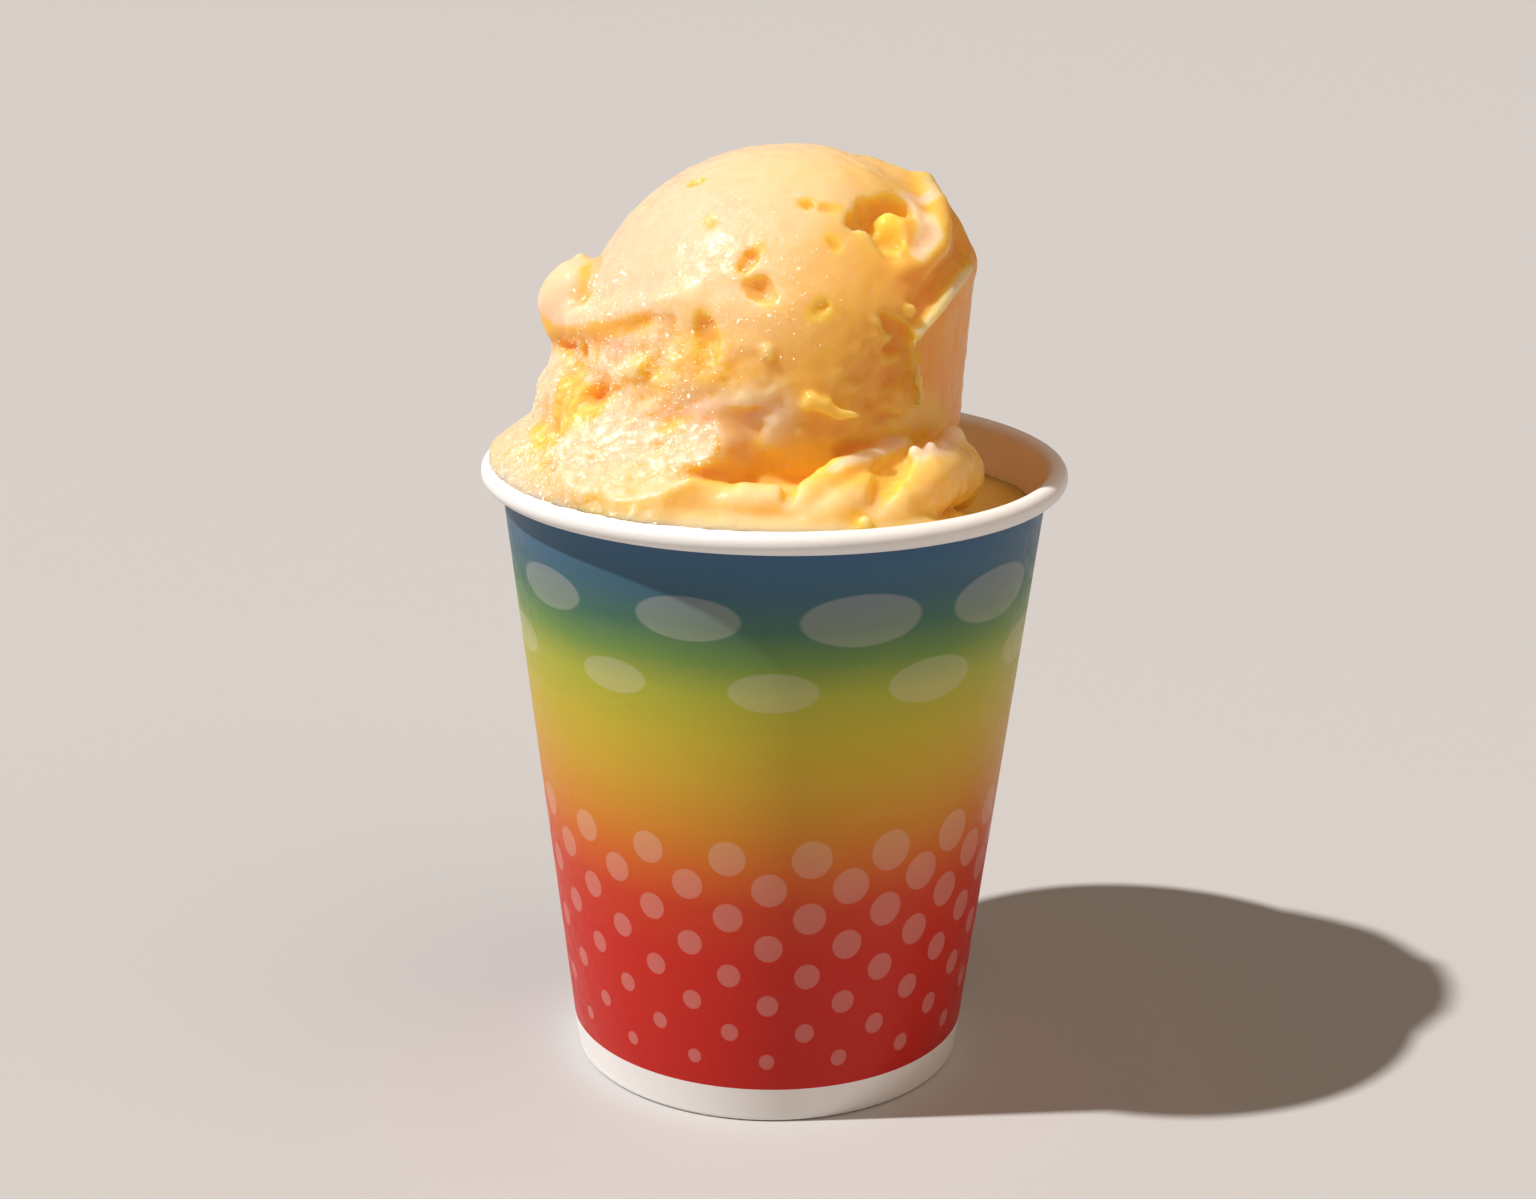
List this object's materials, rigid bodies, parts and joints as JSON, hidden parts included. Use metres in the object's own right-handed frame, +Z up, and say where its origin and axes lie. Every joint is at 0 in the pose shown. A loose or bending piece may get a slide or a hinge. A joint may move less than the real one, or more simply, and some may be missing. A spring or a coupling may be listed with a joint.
{
  "type": "sorbet cup",
  "caption": "Scoop of yellow-orange fruit sorbet pressed onto a packed fill, served in a tapered paper cup with a rolled rim and a coloured print.",
  "frame": {"origin": "middle of the cup's foot, on the surface that it stands on", "axes": "+Z up along the cup's axis, -Y towards the side that the picture shows, +X to the right seen from there"},
  "size_m": [0.088, 0.088, 0.1418],
  "materials": {
    "printed_paper": "coated paper with a printed fade from blue through green and yellow to red, and pale oval spots",
    "plain_paper": "plain white paper board",
    "sorbet": "grainy frozen fruit sorbet, wet and slightly translucent"
  },
  "bodies": {
    "root": {"cup_wall": "printed_paper", "cup_base": "plain_paper", "sorbet_fill": "sorbet", "sorbet_scoop": "sorbet"}
  },
  "joints": []
}
